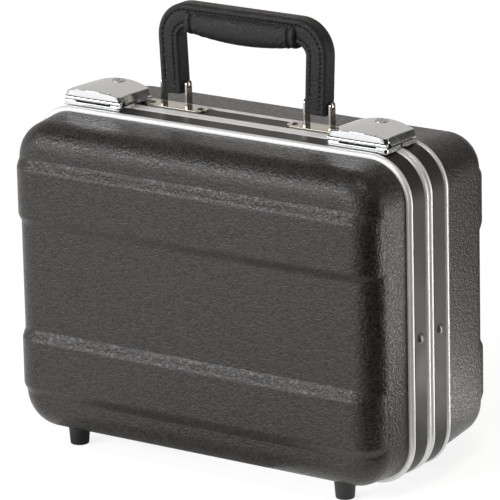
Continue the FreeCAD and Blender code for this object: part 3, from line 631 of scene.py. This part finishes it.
# latch covers: pressed domes with steep ends over a hinge barrel, measured from the seam and the frame's top
coverSet = {
    "half": 0.0254, "front": -0.0202, "rear": 0.0198, "rearBow": 0.0218,
    "corner": 0.0042, "rearCorner": 0.0014,
    "endSlope": 0.0010, "frontLean": 0.0003, "rearLean": 0.0006, "sheet": 0.0006, "lip": 0.0009,
    "top": 0.0130, "frontFall": 0.0008, "endFallFront": 0.0023, "endFallRear": 0.0042, "edgeDrop": 0.000125,
    "rimLow": 0.0036, "rimFront": 0.0068, "stepFrom": -0.0125, "stepTo": -0.0160,
    "pinY": -0.0182, "pinZ": 0.00475, "pinRound": 0.0009,
    "barrelHalf": 0.0154, "barrelRound": 0.0018, "barrelSides": 32, "rootHalf": 0.0009, "rootTop": 0.0118,
    "cheekX": 0.0072, "cheekHalf": 0.0008, "cheekY": -0.0090, "cheekLong": 0.0018, "cheekLow": 0.0061,
    "cheekTop": 0.0122,
    "keyY": 0.0140, "collarIn": 0.0046, "collarOut": 0.0053, "collarUp": 0.0003, "collarEdge": 0.0002,
    "collarFoot": -0.0006, "collarSkirt": -0.0009, "collarSides": 64,
    "frontSteps": 28, "cornerSteps": 8, "endSteps": 22, "rearCornerSteps": 5, "rearSteps": 40,
    # how far up the wall and how far out on the dome the rings lie
    "wallShares": (0.04, 0.3, 0.6, 0.86, 0.94),
    "domeShares": (0.995, 0.975, 0.93, 0.85, 0.74, 0.6, 0.45, 0.3, 0.15, 0.02),
    "crisp": 35.0,
}
cadSeam = frame["record"]["behaviour"]["joints"][0]["pos_m"][1]
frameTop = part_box("latch_pin_left")[0].z - (coverSet["pinZ"] - coverSet["pinRound"])


# outline of the cover seen from above, shrunk by the given amounts, always with the same count of points
def coverOutline(sides, front, rear):
    c = coverSet
    half, low, high = c["half"] - sides, c["front"] + front, c["rear"] - rear
    bow = c["rearBow"] - c["rear"]
    big, small = c["corner"], c["rearCorner"]
    before = [(-half + big + (half - big) * 2 * i / c["frontSteps"], low) for i in range(c["frontSteps"])]
    right = []
    for i in range(c["cornerSteps"]):
        a = math.pi / 2 * i / c["cornerSteps"]
        right.append((half - big + big * math.sin(a), low + big - big * math.cos(a)))
    straight = high - small - low - big
    right += [(half, low + big + straight * i / c["endSteps"]) for i in range(c["endSteps"])]
    for i in range(c["rearCornerSteps"]):
        a = math.pi / 2 * i / c["rearCornerSteps"]
        right.append((half - small + small * math.cos(a), high - small + small * math.sin(a)))
    flat = half - small
    across = [1 - 2 * i / c["rearSteps"] for i in range(c["rearSteps"] + 1)]
    behind = [(flat * t, high + bow * (1 - t ** 2)) for t in across]
    return before + right + behind + [(-x, y) for x, y in reversed(right)]


def coverTop(x, y):
    c = coverSet
    along = (y - c["front"]) / (c["rearBow"] - c["front"])
    fall = c["endFallFront"] + (c["endFallRear"] - c["endFallFront"]) * along
    frontDrop = c["frontFall"] * max(0.0, 1 - 2 * along) ** 2
    return c["top"] - frontDrop - fall * (x / (c["half"] - c["endSlope"])) ** 2


def coverRim(y):
    c = coverSet
    step = smooth((y - c["stepFrom"]) / (c["stepTo"] - c["stepFrom"]))
    return c["rimLow"] + (c["rimFront"] - c["rimLow"]) * step


# rings from the rim over the wall to the middle of the dome, drawn in by the sheet's thickness for the inside
def coverRings(inset):
    c = coverSet
    outer = coverOutline(inset, inset, inset)
    crown = coverOutline(c["endSlope"] + inset, c["frontLean"] + inset, c["rearLean"] + inset)
    rings = [[(x, y, coverRim(y) + up) for x, y in outer] for up in (0.0, c["lip"])]
    for w in c["wallShares"]:
        ring = []
        for (x, y), (u, v) in zip(outer, crown):
            low = coverRim(y) + c["lip"]
            ring.append((x + (u - x) * w, y + (v - y) * w, low + (coverTop(u, v) - inset - low) * w))
        rings.append(ring)
    for i, s in enumerate(c["domeShares"]):
        drop = inset if i else inset + c["edgeDrop"]
        rings.append([(u * s, v * s, coverTop(u * s, v * s) - drop) for u, v in crown])
    return rings


def boxRings(low, high):
    (x, y, z), (u, v, w) = low, high
    return [[(x, y, a), (u, y, a), (u, v, a), (x, v, a)] for a in (z, w)]


# barrel round the pin with its root up to the dome
def barrelParts():
    c = coverSet
    half = c["barrelHalf"]
    section = circle(c["barrelRound"], c["barrelSides"])
    barrel = [[(x, c["pinY"] + u, c["pinZ"] + v) for u, v in section] for x in (-half, half)]
    root = boxRings((-half, c["pinY"] - c["rootHalf"], c["pinZ"]),
                    (half, c["pinY"] + c["rootHalf"], c["rootTop"]))
    return barrel, root


# cheek that holds one end of the hook's pin
def cheekPart(mid):
    c = coverSet
    return boxRings((mid - c["cheekHalf"], c["cheekY"] - c["cheekLong"], c["cheekLow"]),
                    (mid + c["cheekHalf"], c["cheekY"] + c["cheekLong"], c["cheekTop"]))


# low collar round the key, as a closed ring
def collarRings():
    c = coverSet
    profile = ((c["collarIn"], c["collarFoot"]), (c["collarIn"], c["collarUp"]),
               (c["collarOut"] - c["collarEdge"], c["collarUp"]),
               (c["collarOut"], c["collarUp"] - c["collarEdge"]), (c["collarOut"], c["collarSkirt"]))
    rings = []
    for radius, up in profile:
        rings.append([(u, c["keyY"] + v, c["top"] + up) for u, v in circle(radius, c["collarSides"])])
    return rings + [rings[0]]


def buildCover(side):
    c = coverSet
    low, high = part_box("latch_cover_" + side)
    base = Vector(((low.x + high.x) / 2, cadSeam, frameTop))
    verts, faces = [], []
    outside, inside = coverRings(0.0), coverRings(c["sheet"])
    loftRings(list(reversed(outside)) + inside, verts, faces)
    for rings in (*barrelParts(), cheekPart(-c["cheekX"]), cheekPart(c["cheekX"])):
        loftRings(rings, verts, faces)
    loftRings(collarRings(), verts, faces, capped=False)
    verts = [tuple(base + Vector(v)) for v in verts]
    name = "latchCover" + side.capitalize()
    cover = placePiece(name, verts, faces, "chromePlate", "cover_" + side, c["crisp"])
    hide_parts("latch_cover_" + side)


for side in ("left", "right"):
    buildCover(side)
print("latch covers built")

# plain studio: pale floor, dim surroundings, soft lamps and cards that only reflections see
warmLight = (1.0, 0.966, 0.93)
coolLight = (0.97, 0.98, 1.0)
studioSet = {"floor": 0.42, "floorGlow": 0.83, "floorRough": 0.9, "floorHalf": 15.0,
             "low": 0.85, "high": 0.14, "fadeFrom": 0.08, "fadeTo": 0.55, "aim": (0.0, 0.0, 0.14)}


def stageMesh(name, verts, faces, material):
    mesh = bpy.data.meshes.new(name)
    mesh.from_pydata(verts, [], faces)
    mesh.materials.append(material)
    obj = bpy.data.objects.new(name, mesh)
    scene.collection.objects.link(obj)
    return obj


# dull material of one grey, for the floor and the cards
def dullMaterial(name, tone, rough):
    material, tree, shader = newMaterial(name)
    shader.inputs["Base Color"].default_value = (tone, tone, tone, 1.0)
    shader.inputs["Roughness"].default_value = rough
    shader.inputs["Specular IOR Level"].default_value = 0.0
    return material, tree, shader


# the floor glows only for rays that look at it, so that it is white and still takes the shadow
def makeFloor():
    material, tree, shader = dullMaterial("paleFloor", studioSet["floor"], studioSet["floorRough"])
    shader.inputs["Emission Color"].default_value = (1, 1, 1, 1)
    path = addNode(tree, "ShaderNodeLightPath")
    mirrored = mathNode(tree, "MAXIMUM", path.outputs["Is Glossy Ray"], path.outputs["Is Transmission Ray"])
    seen = mathNode(tree, "MAXIMUM", path.outputs["Is Camera Ray"], mirrored)
    glow = mathNode(tree, "MULTIPLY", seen, studioSet["floorGlow"])
    tree.links.new(glow, shader.inputs["Emission Strength"])
    wide = studioSet["floorHalf"]
    corners = [(-wide, -wide, 0), (wide, -wide, 0), (wide, wide, 0), (-wide, wide, 0)]
    stageMesh("studioFloor", corners, [(0, 1, 2, 3)], material)


# direction on the floor, turned from the front of the case towards its right
def towards(turn):
    a = math.radians(turn)
    return Vector((math.sin(a), -math.cos(a), 0.0))


# each card lies on the floor from near to far and stands up at its far edge
cardSet = {
    "darkCard": {"tone": 0.012, "glow": 0.0, "start": 28.0, "stop": 117.0,
                 "near": 0.25, "far": 4.2, "high": 2.4},
    "paleCard": {"tone": 0.5, "glow": 6.6, "start": 118.0, "stop": 132.0,
                 "near": 0.25, "far": 3.2, "high": 0.1},
    "greyCard": {"tone": 0.06, "glow": 0.15, "start": 133.0, "stop": 184.0,
                 "near": 0.25, "far": 3.2, "high": 0.1},
    # painted shade: a grey sheet close round the case, seen only in reflections, stands in for the floor's
    # shade next to the case
    "frontShadeCard": {"tone": 0.5, "glow": 0.14, "start": -75.0, "stop": 40.0,
                  "near": 0.05, "far": 0.155, "high": 0.001},
    "sideCard": {"tone": 0.06, "glow": 0.0, "start": 133.0, "stop": 178.0,
                 "near": 2.5, "far": 2.6, "high": 1.1},
    "rearCard": {"tone": 0.2, "glow": 0.55, "start": 185.0, "stop": 275.0,
                 "near": 3.4, "far": 3.6, "high": 3.8},
}
cardSteps = 16
cardLift = 0.001


def makeCard(name, s):
    material, tree, shader = dullMaterial(name, s["tone"], 1.0)
    shader.inputs["Emission Color"].default_value = (*warmLight, 1.0)
    shader.inputs["Emission Strength"].default_value = s["glow"]
    verts, faces = [], []
    for i in range(cardSteps + 1):
        way = towards(s["start"] + (s["stop"] - s["start"]) * i / cardSteps)
        for reach, up in ((s["near"], cardLift), (s["far"], cardLift), (s["far"], s["high"])):
            verts.append(way * reach + Vector((0, 0, up)))
    for i in range(cardSteps):
        a, b = 3 * i, 3 * i + 3
        faces += [(a, a + 1, b + 1, b), (a + 1, a + 2, b + 2, b + 1)]
    card = stageMesh(name, verts, faces, material)
    card.visible_camera = False
    card.visible_shadow = False
    card.visible_diffuse = False


def makeWorld():
    world = bpy.data.worlds.new("studioWorld")
    scene.world = world
    world.use_nodes = True
    tree = world.node_tree
    sky = addNode(tree, "ShaderNodeSeparateXYZ")
    tree.links.new(addNode(tree, "ShaderNodeTexCoord").outputs["Generated"], sky.inputs[0])
    level = mapRange(tree, sky.outputs["Z"], studioSet["fadeFrom"], studioSet["fadeTo"],
                     studioSet["low"], studioSet["high"])
    tree.links.new(level, tree.nodes["Background"].inputs["Strength"])
    tree.nodes["Background"].inputs["Color"].default_value = (*warmLight, 1.0)


lampSet = {
    "keyLamp": {"turn": -27.0, "lift": 21.5, "away": 4.0, "wide": 3.6, "high": 1.27, "power": 117.0,
                "colour": coolLight},
    "sideLamp": {"turn": 140.0, "lift": 9.0, "away": 3.0, "wide": 2.8, "high": 0.8, "power": 13.0,
                 "colour": warmLight},
    "topLamp": {"turn": 46.0, "lift": 66.0, "away": 2.4, "wide": 0.7, "high": 0.5, "power": 10.0,
                "colour": warmLight},
}


def makeLamp(name, s):
    data = bpy.data.lights.new(name, "AREA")
    data.energy = s["power"]
    data.color = s["colour"]
    data.shape = "RECTANGLE"
    data.size = s["wide"]
    data.size_y = s["high"]
    lamp = bpy.data.objects.new(name, data)
    aim = Vector(studioSet["aim"])
    up = math.radians(s["lift"])
    lamp.location = aim + (towards(s["turn"]) * math.cos(up) + Vector((0, 0, math.sin(up)))) * s["away"]
    lamp.rotation_euler = (aim - lamp.location).to_track_quat("-Z", "Y").to_euler()
    scene.collection.objects.link(lamp)


makeFloor()
for name, values in cardSet.items():
    makeCard(name, values)
makeWorld()
for name, values in lampSet.items():
    makeLamp(name, values)
print("studio built")
